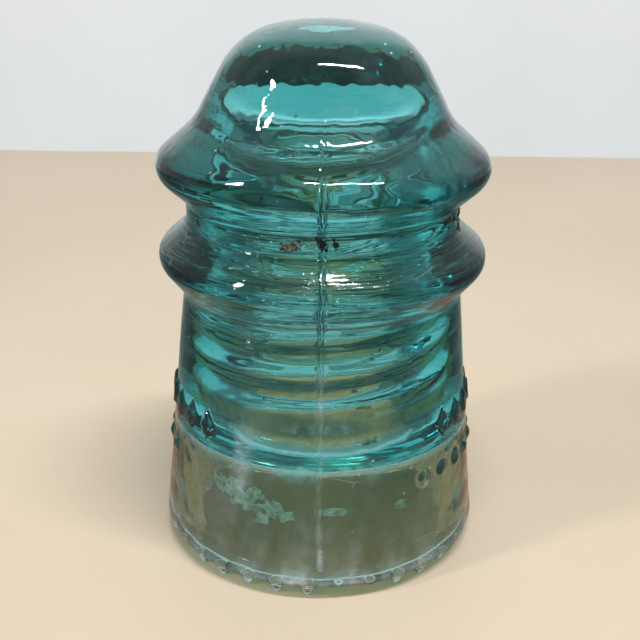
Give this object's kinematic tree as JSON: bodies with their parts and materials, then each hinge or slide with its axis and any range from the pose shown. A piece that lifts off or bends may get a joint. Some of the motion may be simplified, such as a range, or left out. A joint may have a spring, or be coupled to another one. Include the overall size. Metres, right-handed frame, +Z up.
{
  "type": "glass pin insulator",
  "caption": "Small threaded glass pin insulator: domed crown, two wire ridges with a groove between, flared skirt and a rim of drip points.",
  "frame": {"origin": "on the axis of the insulator, level with the tips of the drip points it stands on", "axes": "+Z up through the crown; the pin hole opens along -Z; -Y is the front, where one mould seam runs"},
  "size_m": [0.0568, 0.0568, 0.0901],
  "materials": {
    "insulator_glass": "blue-green pressed glass, fire-polished, lightly worn",
    "rust": "matt rust crust",
    "hard_water_scale": "thin chalky mineral film"
  },
  "bodies": {
    "root": {"glass_body": "insulator_glass", "rust_specks": "rust", "scale_film": "hard_water_scale"}
  },
  "joints": []
}
